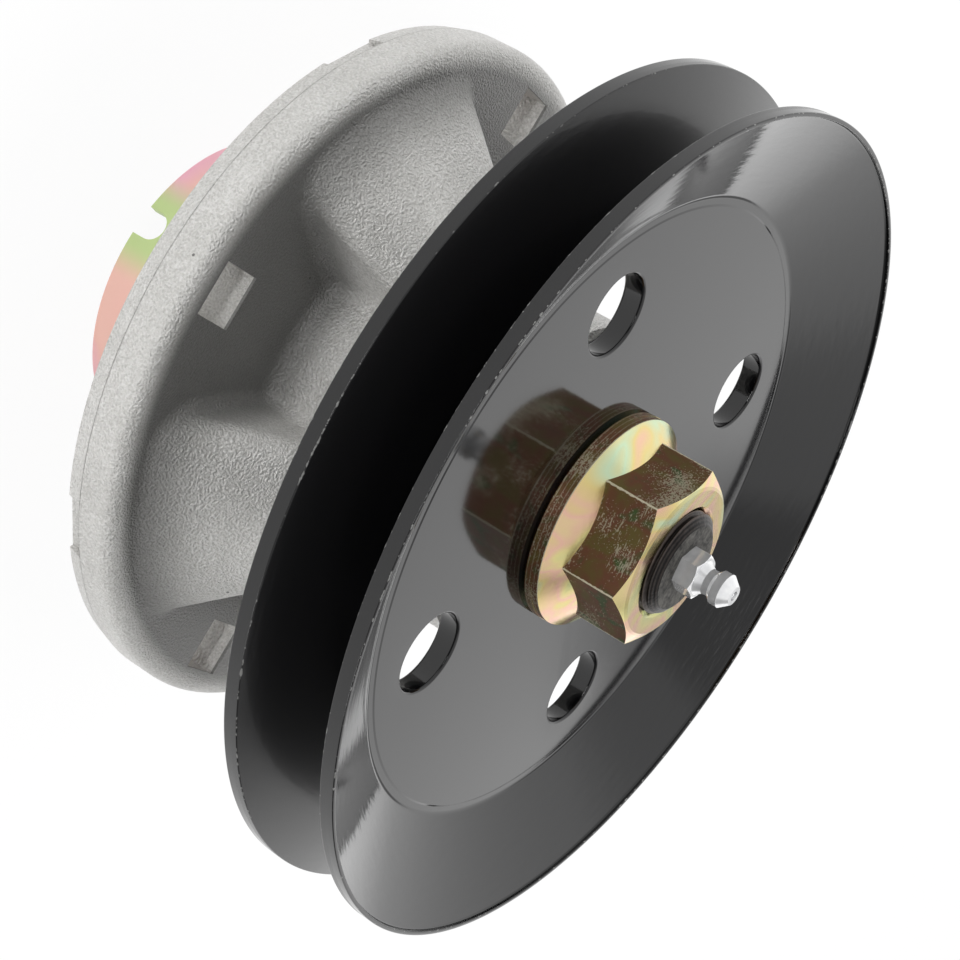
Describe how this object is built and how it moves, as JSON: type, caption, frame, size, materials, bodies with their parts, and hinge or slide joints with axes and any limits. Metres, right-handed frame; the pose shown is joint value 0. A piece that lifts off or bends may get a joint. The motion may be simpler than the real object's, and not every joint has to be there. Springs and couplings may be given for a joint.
{
  "type": "mower deck spindle with pulley",
  "caption": "Cast flanged bearing housing with a driven shaft: stamped V-belt pulley and flange nut with grease fitting above, plated cup over the blade seat below.",
  "frame": {"origin": "on the spindle axis in the plane of the blade seat, which is also the plane of the cup's rim", "axes": "+Z along the spindle from the blade seat to the grease fitting; a square bolt hole lies on +X"},
  "size_m": [0.1524, 0.1524, 0.1176],
  "materials": {
    "cast_housing": "bead-blasted casting, matt and grainy",
    "shaft_steel": "dark machined steel",
    "plated_cup": "yellow zinc plate with pink and green bloom",
    "collar_steel": "turned steel",
    "ring_steel": "blackened spring steel",
    "black_paint": "gloss black paint",
    "plated_nut": "yellow zinc plate, gold with green and pink bloom",
    "bright_zinc": "bright zinc plate",
    "spring_wire": "drawn spring wire",
    "race_steel": "ground bearing steel",
    "cage_steel": "pressed steel",
    "ball_steel": "polished steel balls",
    "seal_rubber": "moulded black rubber"
  },
  "bodies": {
    "housing": {"housing": "cast_housing", "lower_retaining_ring": "ring_steel", "upper_retaining_ring": "ring_steel", "lower_bearing_outer_race": "race_steel", "lower_bearing_seal": "seal_rubber", "upper_bearing_outer_race": "race_steel", "upper_bearing_seal": "seal_rubber"},
    "spindle": {"spindle_shaft": "shaft_steel", "blade_cup": "plated_cup", "lower_spacer": "collar_steel", "bearing_spacer": "collar_steel", "top_spacer": "collar_steel", "pulley_lower_half": "black_paint", "pulley_upper_half": "black_paint", "nut_washer": "plated_nut", "flange_nut": "plated_nut", "grease_fitting_body": "bright_zinc", "grease_fitting_spring": "spring_wire", "lower_bearing_inner_race": "race_steel", "upper_bearing_inner_race": "race_steel"},
    "lower_ball_set": {"lower_bearing_balls": "ball_steel", "lower_bearing_cage": "cage_steel"},
    "upper_ball_set": {"upper_bearing_balls": "ball_steel", "upper_bearing_cage": "cage_steel"},
    "fitting_ball": {"grease_fitting_ball": "ball_steel"}
  },
  "joints": [
    {"name": "spindle_spin", "type": "hinge", "parent": "housing", "child": "spindle", "pos_m": [0, 0, 0.05], "axis": [0, 0, 1], "continuous": true},
    {"name": "lower_balls_spin", "type": "hinge", "parent": "housing", "child": "lower_ball_set", "pos_m": [0, 0, 0.0339], "axis": [0, 0, 1], "continuous": true},
    {"name": "upper_balls_spin", "type": "hinge", "parent": "housing", "child": "upper_ball_set", "pos_m": [0, 0, 0.0687], "axis": [0, 0, 1], "continuous": true},
    {"name": "fitting_ball_slide", "type": "slide", "parent": "spindle", "child": "fitting_ball", "axis": [0, 0, -1], "range_m": [0, 0.0008], "stiffness_N_per_m": 150, "springref_m": -0.002, "deforming": ["grease_fitting_spring"]}
  ],
  "couplings": [
    {"joint": "lower_balls_spin", "follows": "spindle_spin", "ratio": 0.39688},
    {"joint": "upper_balls_spin", "follows": "spindle_spin", "ratio": 0.39688}
  ]
}
